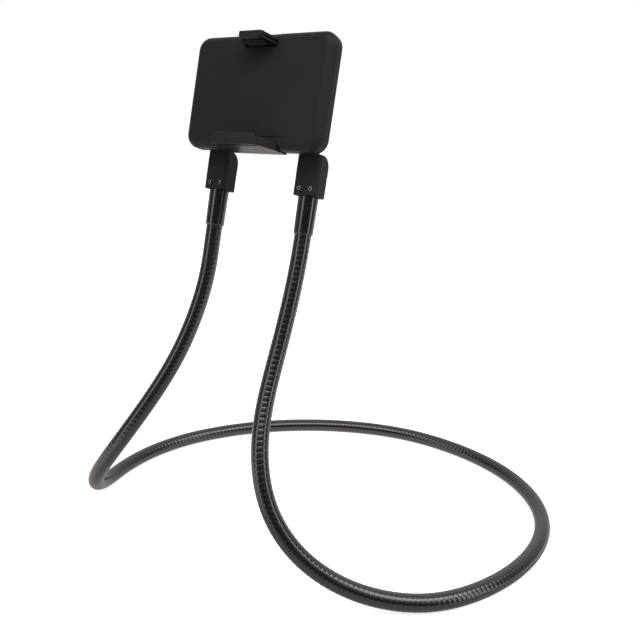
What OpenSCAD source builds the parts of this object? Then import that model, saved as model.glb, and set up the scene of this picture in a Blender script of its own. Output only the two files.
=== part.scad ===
// Neck phone holder: a ribbed gooseneck bent into a neck loop, whose two ends
// carry a tilting holder with two sprung jaws.
// Millimetres, +Z up. The loop lies on z = 0 and the phone side faces -Y.

/* [Gooseneck] */
// Outside diameter over the ribs
tube_d = 10; // [9:0.5:11]
// Depth of the grooves between the ribs
rib_depth = 0.5; // [0.3:0.1:0.8]
// Inside diameter of the ribbed cover
bore_d = 6.6; // [6.2:0.2:7]
// Number of ribs along the whole gooseneck
rib_count = 160; // [80:10:200]
// Gap between the inner core and the cover's bore
core_gap = 0.2; // [0.1:0.05:0.4]
// Depth of the flat where the loop stands on the floor
floor_flat = 0.5; // [0.3:0.1:0.8]

/* [Loop] */
// Width of the loop's centre line, side to side
loop_w = 290; // [270:5:320]
// Depth of the loop's centre line, front to back
loop_d = 224; // [210:2:250]
// Height of the hinge axis above the loop
hinge_h = 225.2; // [210:0.2:250]

/* [Blocks and ferrules] */
// Distance between the axes of the two arms
arm_spacing = 64.5; // [60:0.5:70]
// Width of a block
block_w = 15.5; // [13:0.5:16]
// Depth of a block, and the diameter of its knuckle
block_d = 13; // [12.5:0.5:15]
// Radius of a block's upright edges
block_r = 2.5; // [1:0.5:3]
// Distance from the hinge axis down to a block's end
block_drop = 17; // [16:0.5:20]
// Diameter of a ferrule where it meets the block
ferrule_d = 12; // [11.8:0.1:13]
// Diameter of a ferrule at its free end
ferrule_end_d = 11.4; // [11.2:0.1:11.8]
// Length of a ferrule
ferrule_l = 22; // [20:1:28]
// Diameter of the stud's head in the block
stud_d = 9; // [8:0.5:9.4]
// Diameter of the stud's neck in the gooseneck
neck_d = 6; // [5:0.2:6]
// How far the stud's neck reaches into the gooseneck
neck_l = 14; // [10:1:16]
// Diameter of a set screw
set_screw_d = 2.5; // [2:0.5:3]
// Distance between a block's two set screws
set_screw_spacing = 7.4; // [6.4:0.2:8.4]
// Height of the set screws above the block's end
set_screw_rise = 4; // [3:0.5:4.5]

/* [Hinge] */
// How far the holder leans back at rest, in degrees
lean = 15; // [5:1:25]
// How far the holder's right end is raised, in degrees
side_tilt = 2.4; // [0:0.2:4]
// Diameter of the hinge pins
pin_d = 4; // [3:0.5:5]
// Width of a hinge lug
lug_w = 6.4; // [5.5:0.1:7]
// Thickness of a friction washer
washer_t = 0.5; // [0.3:0.1:0.7]
// Outside diameter of a friction washer
washer_d = 8.5; // [8:0.5:9]

/* [Holder] */
// Width of the holder
holder_w = 94; // [90:1:110]
// Height of the holder
holder_h = 65.5; // [62:0.5:75]
// Thickness of the holder
holder_d = 12; // [12:0.5:16]
// Radius of the holder's four corners
corner_r = 8; // [7:0.5:10]
// Radius of the holder's front edges
front_edge_r = 5; // [2:0.5:5.5]
// Radius of the holder's back edges
back_edge_r = 3; // [1:0.25:3.25]
// Thickness of the covers
wall = 2; // [1.6:0.1:2.2]
// Thickness of the rear cover
rear_t = 3.5; // [3.2:0.1:4]
// Gap between the hinge axis and the holder's bottom
holder_rise = 4.7; // [4:0.1:6]
// Gap between the hinge axis and the holder's back
holder_back = 9.9; // [9.6:0.1:11]
// Diameter of the cover and bracket screws
screw_d = 2.5; // [2:0.5:3]

/* [Jaws] */
// How far the top jaw's lip stands in front of the holder
top_reach = 12; // [11:0.5:18]
// How far the bottom jaw's lip stands in front of the holder
bottom_reach = 13.5; // [11:0.5:18]
// Thickness of a jaw's lip
lip_t = 2.6; // [2:0.1:3.2]
// Width of the top jaw's lip
top_lip_w = 15; // [12:0.5:18]
// Width of the top jaw where it enters the holder
top_root_w = 21.5; // [20:0.5:24]
// Thickness of the top jaw's arm
top_arm_t = 3.6; // [3:0.1:4]
// Distance from the holder's top down to the top jaw's arm
top_arm_drop = 3.9; // [3.5:0.1:5.5]
// Width of the bottom jaw's lip
bottom_lip_w = 30; // [26:1:34]
// Width of the bottom jaw where it enters the holder
bottom_root_w = 39.4; // [36:0.2:41]
// Thickness of the bottom jaw's arm
bottom_arm_t = 4.4; // [4:0.1:5]
// How far the bottom jaw stands below the holder's bottom
bottom_proud = 0.8; // [0.4:0.1:1.2]
// How far the top lip stands below its arm
top_hook = 1; // [0.8:0.1:2]
// How far the bottom lip stands above its arm
bottom_hook = 1.9; // [1.4:0.1:2.6]
// Thickness of a jaw's slide plate
slide_t = 2.4; // [2:0.1:2.5]
// Thickness of the plate between the two slides
guide_t = 1.4; // [1:0.1:1.6]
// How far the top jaw pulls out
top_travel = 14; // [8:1:14]
// How far the bottom jaw pulls out
bottom_travel = 18; // [10:1:18]
// Thickness of a jaw pad
pad_t = 1; // [0.8:0.1:1.4]
// Outside diameter of a jaw spring
spring_d = 2.8; // [2.4:0.1:2.9]

/* [Hidden] */
$fn = 48;

// Small clearances and overruns
over = 1;
fit = 0.05;
seat = 0.02;
slide_gap = 0.25;
part_gap = 0.15;

// Finishes
black = [0.07, 0.07, 0.075];
gloss_black = [0.03, 0.03, 0.035];
steel = [0.6, 0.6, 0.62];
rubber = [0.12, 0.12, 0.12];

// Where the hinge axis is, as shares of the loop and the hinge height, and the loop's own centre
hinge_shares = [-0.1315, -0.1642, 1];
centre_shares = [-0.01111, -0.0039];
floor_z = tube_d / 2 - floor_flat;
function in_loop(s) = [(s[0] + centre_shares[0]) * loop_w, (s[1] + centre_shares[1]) * loop_d,
    floor_z + s[2] * hinge_h];
hinge_at = in_loop(hinge_shares);

// Route of the gooseneck: shares of the loop's width, its depth and the hinge height
left_arm_shares = [[-0.235, -0.24, 0.695], [-0.24, -0.28, 0.59], [-0.255, -0.34, 0.468],
    [-0.28, -0.42, 0.354], [-0.328, -0.488, 0.227], [-0.387, -0.5, 0.118], [-0.43, -0.453, 0.041]];
loop_shares = [[-0.459, -0.382, 0.005], [-0.472, -0.313, 0], [-0.478, -0.26, 0], [-0.477, -0.147, 0],
    [-0.442, 0.008, 0], [-0.36, 0.17, 0], [-0.265, 0.295, 0], [-0.14, 0.41, 0], [0, 0.485, 0],
    [0.12, 0.508, 0], [0.26, 0.488, 0], [0.385, 0.415, 0], [0.474, 0.286, 0], [0.509, 0.118, 0],
    [0.484, -0.077, 0], [0.419, -0.246, 0], [0.34, -0.352, 0]];
right_arm_shares = [[0.235, -0.434, 0.03], [0.139, -0.488, 0.106], [0.066, -0.498, 0.214],
    [0.022, -0.458, 0.334], [-0.003, -0.386, 0.44], [-0.009, -0.31, 0.57], [-0.009, -0.26, 0.695]];

// A point of the leaning frame, whose origin is the middle of the hinge axis
function leant(p) = [p[0], p[1] * cos(lean) + p[2] * sin(lean), p[2] * cos(lean) - p[1] * sin(lean)];
function tilted(p) = [p[0] * cos(side_tilt) - p[2] * sin(side_tilt), p[1],
    p[0] * sin(side_tilt) + p[2] * cos(side_tilt)];
function posed(p) = hinge_at + tilted(leant(p));

// The gooseneck's two ends run straight out of the ferrules
ferrule_top = -block_drop - fit;
head_l = 4;
hose_top = ferrule_top - head_l - fit;
hose_turn = ferrule_top - ferrule_l - tube_d;
function end_points(side) = [for (k = [0:2])
    posed([side * arm_spacing / 2, 0, hose_top + (hose_turn - hose_top) * k / 2])];
function placed(shares) = [for (s = shares) in_loop(s)];
right_end = end_points(1);
route = concat(end_points(-1), placed(left_arm_shares), placed(loop_shares),
    placed(right_arm_shares), [right_end[2], right_end[1], right_end[0]]);
spans = len(route) - 1;

// Cubic B-spline along the route: u runs from 0 to the number of spans
function control(i) = i < 0 ? 2 * route[0] - route[1] :
    i > spans ? 2 * route[spans] - route[spans - 1] : route[i];
function span_of(u) = min(floor(u), spans - 1);
function blend(i, t) = (pow(1 - t, 3) * control(i - 1) + (3 * pow(t, 3) - 6 * t * t + 4) * control(i)
    + (-3 * pow(t, 3) + 3 * t * t + 3 * t + 1) * control(i + 1) + pow(t, 3) * control(i + 2)) / 6;
function route_at(u) = blend(span_of(u), u - span_of(u));
nudge = 0.01;
function unit(v) = v / norm(v);
function heading(u) = unit(route_at(min(u + nudge, spans)) - route_at(max(u - nudge, 0)));

// Distance along the route, for evenly spaced ribs
steps = 8;
fine = [for (k = [0:spans * steps]) route_at(k / steps)];
travelled = [for (k = 0, d = 0; k < len(fine); d = d + (k + 1 < len(fine) ? norm(fine[k + 1] - fine[k]) : 0),
    k = k + 1) [d, k / steps]];
hose_l = travelled[len(travelled) - 1][0];
function station(d) = lookup(d, travelled);

// Swept tubes: a ring of corners at each station, turned as little as possible
sides = 8;
function carried(side, way) = unit(side - (side * way) * way);
function frames(us) = let (ways = [for (u = us) heading(u)])
    [for (k = 0, n = carried([1, 0, 0], ways[0]); k < len(us);
        k = k + 1, n = k < len(us) ? carried(n, ways[k]) : n) [n, cross(ways[k], n)]];
function ring(at, frame, r, low) = [for (k = [0:sides - 1]) let (a = (k + 0.5) * 360 / sides,
    p = at + r * cos(a) * frame[0] + r * sin(a) * frame[1]) [p[0], p[1], max(p[2], low)]];
function rings(us, rs, low) = let (f = frames(us))
    [for (k = [0:len(us) - 1]) each ring(route_at(us[k]), f[k], rs[k], low)];
function skin(first, count, out) = [for (k = [0:count - 2], j = [0:sides - 1])
    let (a = first + k * sides + j, b = first + k * sides + (j + 1) % sides, c = a + sides, d = b + sides)
    each out ? [[a, b, d], [a, d, c]] : [[a, d, b], [a, c, d]]];
function rim(outer, inner, start) = [for (j = [0:sides - 1])
    let (a = outer + j, b = outer + (j + 1) % sides, c = inner + j, d = inner + (j + 1) % sides)
    each start ? [[a, d, b], [a, c, d]] : [[a, b, d], [a, d, c]]];
function cap(first, start) = [for (j = [1:sides - 2])
    start ? [first, first + j + 1, first + j] : [first, first + j, first + j + 1]];
across_corners = 1 / cos(180 / sides);

rib_pitch = hose_l / rib_count;
rib_stations = concat([0], [for (k = [0:rib_count - 1], h = [0.25, 0.75])
    station((k + h) * rib_pitch)], [spans]);
rib_radii = concat([tube_d / 2 - rib_depth], [for (k = [0:rib_count - 1], h = [0, 1])
    tube_d / 2 - h * rib_depth], [tube_d / 2 - rib_depth]);
bore_steps = 3;
bore_stations = [for (k = [0:spans * bore_steps]) k / bore_steps];
bore_radii = [for (u = bore_stations) bore_d / 2 * across_corners];
core_from = station(neck_l + core_gap);
core_to = station(hose_l - neck_l - core_gap);
core_stations = concat([core_from], [for (u = bore_stations) if (u > core_from + nudge && u < core_to - nudge) u],
    [core_to]);
core_radii = [for (u = core_stations) (bore_d / 2 - core_gap) * across_corners];

module gooseneck_cover() {
    outer = rings(rib_stations, rib_radii, 0);
    inner = rings(bore_stations, bore_radii, 0);
    last_outer = len(outer) - sides;
    last_inner = len(outer) + len(inner) - sides;
    color(gloss_black)
        polyhedron(concat(outer, inner), concat(skin(0, len(rib_stations), false),
            skin(len(outer), len(bore_stations), true), rim(0, len(outer), false),
            rim(last_outer, last_inner, true)), convexity = 20);
}

module gooseneck_core() {
    points = rings(core_stations, core_radii, 0);
    color(steel)
        polyhedron(points, concat(skin(0, len(core_stations), false), cap(0, false),
            cap(len(points) - sides, true)), convexity = 20);
}

// Everything from the ferrules up is drawn in the leaning frame
module in_pose() {
    translate(hinge_at) rotate([-lean, -side_tilt, 0]) children();
}

module at_arm(side) {
    in_pose() translate([side * arm_spacing / 2, 0, 0]) children();
}

// A cylinder along X, centred on the place of its children
module bar_x(d, l) {
    rotate([0, 90, 0]) cylinder(d = d, h = l, center = true);
}

// A cylinder along +Y from y = 0
module bar_y(d, l) {
    rotate([-90, 0, 0]) cylinder(d = d, h = l);
}

module round_rect(w, h, r) {
    square([w - 2 * r, h], center = true);
    square([w, h - 2 * r], center = true);
    for (x = [-1, 1], y = [-1, 1]) translate([x * (w / 2 - r), y * (h / 2 - r)]) circle(r);
}

// A box given by its low and high corners
module span_box(low, high) {
    translate(low) cube(high - low);
}

// Hinge blocks
fork_w = lug_w + 2 * (washer_t + 2 * fit);
knuckle_r = block_d / 2;
brow_r = 0.8;
front_wall = 1.8;
fork_r = knuckle_r - front_wall;
lug_r = fork_r - slide_gap;
blind_wall = 1;
pin_l = block_w - blind_wall - 2 * blind_wall;
socket_web = 1.6;
stud_top = -fork_r - socket_web;
screw_recess = 0.3;
tip_gap = 0.04;
inner_edge = set_screw_spacing / 2 - set_screw_d / 2;
stud_depth = sqrt(stud_d * stud_d / 4 - inner_edge * inner_edge);
set_screw_l = block_d / 2 - screw_recess - stud_depth - tip_gap;

// A block's outline from the side: upright in front, round behind the hinge
module block_side() {
    translate([-knuckle_r, -block_drop - over]) square([block_d, block_drop + over]);
    circle(knuckle_r);
    translate([-knuckle_r, -over]) square([knuckle_r, knuckle_r - brow_r + over]);
    translate([brow_r - knuckle_r, -over]) square([knuckle_r - brow_r, knuckle_r + over]);
    translate([brow_r - knuckle_r, knuckle_r - brow_r]) circle(brow_r);
}

// The slot for the lug is open behind and above, and closed in front; the pin goes in from the left
module block() {
    color(black) difference() {
        intersection() {
            translate([0, 0, -block_drop]) linear_extrude(block_drop + knuckle_r)
                round_rect(block_w, block_d, block_r);
            rotate([90, 0, 90]) linear_extrude(2 * block_w, center = true) block_side();
        }
        intersection() {
            span_box([-fork_w / 2, -fork_r, -block_d], [fork_w / 2, block_d, block_d]);
            union() {
                bar_x(2 * fork_r, 2 * block_w);
                span_box([-block_w, -block_d, 0], [block_w, block_d, block_d]);
            }
        }
        translate([-block_w / 2 - over, 0, 0]) rotate([0, 90, 0])
            cylinder(d = pin_d + 2 * seat, h = block_w - blind_wall + over);
        translate([0, 0, -block_drop - over])
            cylinder(d = stud_d + 2 * fit, h = block_drop + over + stud_top + fit);
        for (x = [-1, 1]) translate([x * set_screw_spacing / 2, -block_d / 2 - over, set_screw_rise - block_drop])
            bar_y(set_screw_d + 2 * seat, block_d / 2 + over);
    }
}

hex_share = 0.56;
module set_screw() {
    color(steel) difference() {
        bar_y(set_screw_d, set_screw_l);
        translate([0, -over, 0]) rotate([-90, 0, 0])
            cylinder(d = hex_share * set_screw_d, h = over + set_screw_l / 2, $fn = 6);
    }
}

module set_screws() {
    for (side = [-1, 1], x = [-1, 1]) at_arm(side)
        translate([x * set_screw_spacing / 2, screw_recess - block_d / 2, set_screw_rise - block_drop]) set_screw();
}

module end_stud(side) {
    at_arm(side) color(steel) {
        translate([0, 0, hose_top + fit]) cylinder(d = stud_d, h = stud_top - hose_top - fit);
        translate([0, 0, hose_top - neck_l]) cylinder(d = neck_d, h = neck_l + fit);
    }
}

ferrule_lip_r = 1;
module ferrule(side) {
    at_arm(side) translate([0, 0, ferrule_top - ferrule_l]) color(gloss_black) difference() {
        rotate_extrude() {
            polygon([[0, 0], [ferrule_end_d / 2 - ferrule_lip_r, 0],
                for (a = [-60:30:0]) [ferrule_end_d / 2 - ferrule_lip_r * (1 - cos(a)), ferrule_lip_r * (1 + sin(a))],
                [ferrule_d / 2, ferrule_l], [0, ferrule_l]]);
        }
        translate([0, 0, -over]) cylinder(d = tube_d + 2 * fit, h = over + ferrule_l - head_l);
        cylinder(d = stud_d + 2 * fit, h = ferrule_l + over);
    }
}

module hinge_pin(side) {
    at_arm(side) translate([block_w / 2 - blind_wall - fit - pin_l / 2, 0, 0])
        color(steel) bar_x(pin_d, pin_l);
}

module friction_washers() {
    for (side = [-1, 1], x = [-1, 1]) at_arm(side) translate([x * (lug_w + washer_t + 2 * fit) / 2, 0, 0])
        color(steel) difference() {
            bar_x(washer_d, washer_t);
            bar_x(pin_d + 2 * fit, 2 * washer_t);
        }
}

// Holder: planes of the two covers and of the slides between them
back_y = -holder_back;
front_y = back_y - holder_d;
part_y = back_y - rear_t;
bottom_z = holder_rise;
top_z = holder_rise + holder_h;
middle_z = (bottom_z + top_z) / 2;
bracket_t = 2.4;
bracket_back = back_y + fit + bracket_t;
inside_front = front_y + wall;
inside_back = back_y - wall;
inside_mid = (inside_front + inside_back) / 2;

// A plate with round corners in the XZ plane, from y0 to y1
module slab(w, h, y0, y1, r) {
    translate([0, y1, middle_z]) rotate([90, 0, 0]) linear_extrude(y1 - y0) round_rect(w, h, r);
}

// The holder's outer form between two planes, its front and back edges rounded
module holder_form(y0, y1, r0, r1) {
    turns = 8;
    depth = y1 - y0;
    translate([0, y1, middle_z]) rotate([90, 0, 0]) hull()
        for (x = [-1, 1], z = [-1, 1])
            translate([x * (holder_w / 2 - corner_r), z * (holder_h / 2 - corner_r), 0])
                rotate_extrude($fn = 40) polygon(concat([[0, 0], [corner_r - r1, 0]],
                    [for (k = [1:turns]) [corner_r - r1 * (1 - sin(k * 90 / turns)), r1 * (1 - cos(k * 90 / turns))]],
                    [for (k = [0:turns]) [corner_r - r0 * (1 - cos(k * 90 / turns)), depth - r0 * (1 - sin(k * 90 / turns))]],
                    [[0, depth]]));
}

// Windows for the jaws, cut through the whole depth of the bottom and the top
bottom_arm_low = bottom_z - bottom_proud;
bottom_arm_top = bottom_arm_low + bottom_arm_t;
window_side = 1.8;
window_h = 6.7;
lining_t = 1.5;
bottom_window_w = bottom_root_w + 2 * (slide_gap + window_side);
bottom_window_top = bottom_z + window_h;
top_arm_top = top_z - top_arm_drop;
top_arm_low = top_arm_top - top_arm_t;
top_window_w = top_root_w + 4 * slide_gap;
top_window_low = top_arm_low - 2 * slide_gap;
back_window_low = top_arm_low - slide_gap;
back_window_top = bottom_arm_top + slide_gap;

module windows() {
    span_box([-bottom_window_w / 2, front_y - over, bottom_z - over],
        [bottom_window_w / 2, part_y + over, bottom_window_top]);
    span_box([-top_window_w / 2, front_y - over, top_window_low],
        [top_window_w / 2, part_y + over, top_z + over]);
}

module back_windows() {
    span_box([-bottom_root_w / 2 - slide_gap, part_y - over, bottom_z - over],
        [bottom_root_w / 2 + slide_gap, back_y + over, back_window_top]);
    span_box([-top_root_w / 2 - slide_gap, part_y - over, back_window_low],
        [top_root_w / 2 + slide_gap, back_y + over, top_z + over]);
}

// Screws that hold the covers together, at the four corners
screw_inset = 6.2;
boss_wall = 1.7;
head_share = 1.8;
head_t_share = 0.6;
boss_d = screw_d + 2 * boss_wall;
head_d = head_share * screw_d;
head_t = head_t_share * screw_d;
screw_places = [for (x = [-1, 1], z = [bottom_z + screw_inset, top_z - screw_inset])
    [x * (holder_w / 2 - screw_inset), z]];

module front_cover() {
    in_pose() color(black) difference() {
        union() {
            difference() {
                holder_form(front_y, part_y, front_edge_r, part_gap);
                slab(holder_w - 2 * wall, holder_h - 2 * wall, inside_front, part_y + over, corner_r - wall);
            }
            span_box([-bottom_window_w / 2 - lining_t, inside_front - wall / 2, bottom_z + wall / 2],
                [bottom_window_w / 2 + lining_t, inside_mid - guide_t / 2 - part_gap, bottom_window_top + lining_t]);
            for (p = screw_places) translate([p[0], inside_front - wall / 2, p[1]])
                bar_y(boss_d, inside_mid - guide_t / 2 - part_gap - inside_front + wall / 2);
        }
        windows();
        for (p = screw_places) translate([p[0], inside_front, p[1]]) bar_y(screw_d + 2 * seat, holder_d);
    }
}

module rear_cover() {
    in_pose() color(black) difference() {
        union() {
            difference() {
                holder_form(part_y + part_gap, back_y, part_gap, back_edge_r);
                slab(holder_w - 2 * wall, holder_h - 2 * wall, part_y - over, inside_back, corner_r - wall);
            }
            for (p = screw_places) translate([p[0], inside_mid + guide_t / 2 + part_gap, p[1]])
                bar_y(boss_d, inside_back - inside_mid - guide_t / 2 - part_gap + wall / 2);
            for (p = bracket_places) translate([p[0], inside_mid + guide_t / 2 + part_gap, p[1]])
                bar_y(bracket_boss_d, inside_back - inside_mid - guide_t / 2 - part_gap + wall / 2);
        }
        back_windows();
        for (p = screw_places) translate([p[0], part_y - holder_d, p[1]]) bar_y(screw_d + 2 * fit, 2 * holder_d);
        for (p = screw_places) translate([p[0], back_y - head_t, p[1]]) bar_y(head_d + 2 * fit, head_t + over);
        for (p = bracket_places) translate([p[0], inside_mid, p[1]]) bar_y(screw_d + 2 * seat, holder_d);
    }
}

slot_share = 0.5;
module screw(l) {
    color(steel) difference() {
        union() {
            translate([0, -head_t, 0]) bar_y(head_d, head_t);
            translate([0, -l, 0]) bar_y(screw_d, l);
        }
        translate([0, -head_t / 2, 0]) rotate([-90, 0, 0]) cylinder(d = slot_share * head_d, h = head_t, $fn = 6);
    }
}

module cover_screws() {
    for (p = screw_places) in_pose() translate([p[0], back_y, p[1]]) screw(back_y - inside_front - over);
}

// The bracket on the holder's back, with its two hinge lugs
bracket_rise = 2.3;
bracket_h = 12;
bracket_end = 1.8;
bracket_screw_gap = 4;
bracket_screw_shares = [0.24, 0.76];
bracket_boss_wall = 0.8;
bracket_low = bottom_z + bracket_rise;
bracket_w = arm_spacing + lug_w + 2 * bracket_end;
bracket_screw_x = (arm_spacing - lug_w) / 2 - bracket_screw_gap;
bracket_places = [for (x = [-1, 1], share = bracket_screw_shares)
    [x * bracket_screw_x, bracket_low + share * bracket_h]];
bracket_boss_d = screw_d + 2 * bracket_boss_wall;
lug_front_share = 0.7;
lug_back_share = 0.5;
web_step = 2;

module lug() {
    rotate([90, 0, 90]) linear_extrude(lug_w, center = true) polygon([
        [back_y + fit, bracket_low + bracket_h], [back_y + fit, bracket_low], [bracket_back, bracket_low],
        [-lug_front_share * lug_r, bracket_low + web_step],
        [-lug_front_share * lug_r, lug_front_share * lug_r], [0, 0],
        [lug_back_share * lug_r, sqrt(1 - lug_back_share * lug_back_share) * lug_r],
        [bracket_back + bracket_t, bracket_low + bracket_h]]);
    bar_x(2 * lug_r, lug_w);
}

module hinge_bracket() {
    in_pose() color(black) difference() {
        union() {
            span_box([-bracket_w / 2, back_y + fit, bracket_low],
                [bracket_w / 2, bracket_back, bracket_low + bracket_h]);
            for (side = [-1, 1]) translate([side * arm_spacing / 2, 0, 0]) lug();
        }
        for (side = [-1, 1]) translate([side * arm_spacing / 2, 0, 0]) bar_x(pin_d + 2 * fit, 2 * lug_w);
        for (p = bracket_places) translate([p[0], back_y - over, p[1]]) bar_y(screw_d + 2 * fit, bracket_t + 2 * over);
    }
}

module bracket_screws() {
    for (p = bracket_places) in_pose() translate([p[0], bracket_back + fit + head_t, p[1]])
        screw(bracket_back + fit + head_t - inside_mid - guide_t / 2 - 2 * part_gap);
}

// Slides of the jaws: the top jaw runs in front of the guide plate, the bottom jaw behind it
front_slide_y = inside_mid - guide_t / 2 - slide_gap - slide_t;
rear_slide_y = inside_mid + guide_t / 2 + slide_gap;
rail_w = 1.8;
foot_h = 5;
stem_inset = 1.2;
foot_step = 5.5;
top_foot_share = 0.4;
bottom_foot_share = 0.52;
top_stem_w = top_root_w - 2 * stem_inset;
top_foot_w = top_stem_w + 2 * foot_step;
top_foot_z = bottom_z + top_foot_share * holder_h;
bottom_stem_w = bottom_root_w - 2 * stem_inset;
bottom_foot_w = bottom_stem_w + 2 * foot_step;
bottom_foot_z = bottom_z + bottom_foot_share * holder_h;
top_spring_x = (top_stem_w + top_foot_w) / 4;
bottom_spring_x = (bottom_stem_w + bottom_foot_w) / 4;
peg_d = 1.2;
eye_d = 2.4;
wire_d = 0.5;
anchor_share = 0.16;
top_anchor_z = bottom_z + anchor_share * holder_h;
bottom_anchor_z = top_z - anchor_share * holder_h;
pocket_t = 1;
pocket_w = spring_d + 4 * slide_gap;
spring_tail = eye_d / 2;
head_drop = 0.8;
riser_t = 2.6;

module top_jaw() {
    stem_y = front_slide_y;
    in_pose() color(black) difference() {
        union() {
            intersection() {
                holder_form(front_y + part_gap, back_y - part_gap, front_edge_r, back_edge_r);
                span_box([-top_root_w / 2, front_y, top_arm_low], [top_root_w / 2, back_y, top_z - head_drop]);
            }
            top_arm();
            span_box([-top_stem_w / 2, stem_y, top_foot_z + foot_h - over],
                [top_stem_w / 2, stem_y + slide_t, top_arm_low + over]);
            span_box([-top_foot_w / 2, stem_y, top_foot_z], [top_foot_w / 2, stem_y + slide_t, top_foot_z + foot_h]);
        }
        for (x = [-1, 1]) translate([x * top_spring_x, 0, 0]) {
            span_box([-pocket_w / 2, stem_y - over, top_foot_z - over],
                [pocket_w / 2, stem_y + slide_t - pocket_t, top_foot_z + foot_h - over]);
            span_box([-pocket_w / 2, stem_y - over, top_foot_z - over],
                [pocket_w / 2, stem_y + slide_t + over, top_foot_z + foot_h / 2 - spring_tail + slide_gap]);
        }
        pad_groove(top_lip_w, top_arm_low, top_reach, 1);
    }
    for (x = [-1, 1]) in_pose() color(black)
        translate([x * top_spring_x, stem_y, top_foot_z + foot_h / 2]) bar_y(peg_d, slide_t - pocket_t / 2);
}

// An arm's outline seen from above: narrow at the lip, wide at the holder
module arm_outline(root_w, lip_w, reach) {
    lip_y = front_y - reach + lip_t / 2;
    polygon([[-root_w / 2, front_y + front_edge_r], [-root_w / 2, front_y], [-lip_w / 2, lip_y],
        [lip_w / 2, lip_y], [root_w / 2, front_y], [root_w / 2, front_y + front_edge_r]]);
}

// A lip plate, whose two free corners are cut off
lip_cut_share = 0.1;
lip_cut_rise_share = 0.45;
module lip(w, low, high, reach, free_up) {
    h = high - low;
    cut_x = lip_cut_share * w;
    cut_z = lip_cut_rise_share * h;
    translate([0, front_y - reach + lip_t, (low + high) / 2]) rotate([90, 0, 0]) linear_extrude(lip_t)
        mirror([0, free_up ? 0 : 1]) polygon([[-w / 2, -h / 2], [w / 2, -h / 2], [w / 2, h / 2 - cut_z],
            [w / 2 - cut_x, h / 2], [cut_x - w / 2, h / 2], [-w / 2, h / 2 - cut_z]]);
}

module top_arm() {
    translate([0, 0, top_arm_low]) linear_extrude(top_arm_t) arm_outline(top_root_w, top_lip_w, top_reach);
    lip(top_lip_w, top_arm_low - top_hook, top_arm_top, top_reach, false);
}

module bottom_arm() {
    translate([0, 0, bottom_arm_low]) linear_extrude(bottom_arm_t) arm_outline(bottom_root_w, bottom_lip_w, bottom_reach);
    lip(bottom_lip_w, bottom_arm_low - part_gap, bottom_arm_top + bottom_hook, bottom_reach, true);
}

// The pads lie in shallow grooves of the arms
groove_t = 0.4;
pad_margin = 1.2;
pad_shift = 1;
module pad_groove(lip_w, z, reach, up) {
    pad_l = reach - lip_t - 2 * pad_margin;
    pad_from = front_y - pad_margin - pad_shift - pad_l;
    span_box([-lip_w / 2 + 2 * pad_margin, pad_from + pad_margin, z - (up > 0 ? over : groove_t)],
        [lip_w / 2 - 2 * pad_margin, pad_from + pad_l - pad_margin, z + (up > 0 ? groove_t : over)]);
}

module jaw_pad(lip_w, z, reach, up) {
    pad_l = reach - lip_t - 2 * pad_margin;
    pad_from = front_y - pad_margin - pad_shift - pad_l;
    neck = fit + (groove_t - fit) / 2;
    in_pose() color(rubber) translate([0, 0, z]) mirror([0, 0, up > 0 ? 0 : 1]) {
        span_box([-lip_w / 2 + pad_margin, pad_from, -pad_t - fit], [lip_w / 2 - pad_margin, pad_from + pad_l, -fit]);
        span_box([-lip_w / 2 + 2 * pad_margin + fit, pad_from + pad_margin + fit, -fit - neck],
            [lip_w / 2 - 2 * pad_margin - fit, pad_from + pad_l - pad_margin - fit, groove_t - fit]);
    }
}

module bottom_jaw() {
    stem_y = rear_slide_y;
    in_pose() color(black) difference() {
        union() {
            span_box([-bottom_root_w / 2, front_y + over, bottom_arm_low],
                [bottom_root_w / 2, back_y - part_gap, bottom_arm_top]);
            bottom_arm();
            span_box([slide_gap - bottom_window_w / 2, inside_front, bottom_z],
                [bottom_window_w / 2 - slide_gap, inside_front + riser_t, bottom_window_top - slide_gap]);
            span_box([-bottom_stem_w / 2, stem_y, bottom_arm_top - over],
                [bottom_stem_w / 2, stem_y + slide_t, bottom_foot_z + over]);
            span_box([-bottom_foot_w / 2, stem_y, bottom_foot_z],
                [bottom_foot_w / 2, stem_y + slide_t, bottom_foot_z + foot_h]);
        }
        for (x = [-1, 1]) translate([x * bottom_spring_x, 0, 0]) {
            span_box([-pocket_w / 2, stem_y + pocket_t, bottom_foot_z + over],
                [pocket_w / 2, stem_y + slide_t + over, bottom_foot_z + foot_h + over]);
            span_box([-pocket_w / 2, stem_y - over, bottom_foot_z + foot_h / 2 + spring_tail - slide_gap],
                [pocket_w / 2, stem_y + slide_t + over, bottom_foot_z + foot_h + over]);
        }
        pad_groove(bottom_lip_w, bottom_arm_top, bottom_reach, -1);
    }
    for (x = [-1, 1]) in_pose() color(black)
        translate([x * bottom_spring_x, stem_y + pocket_t / 2, bottom_foot_z + foot_h / 2])
            bar_y(peg_d, slide_t - pocket_t / 2);
}

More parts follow.
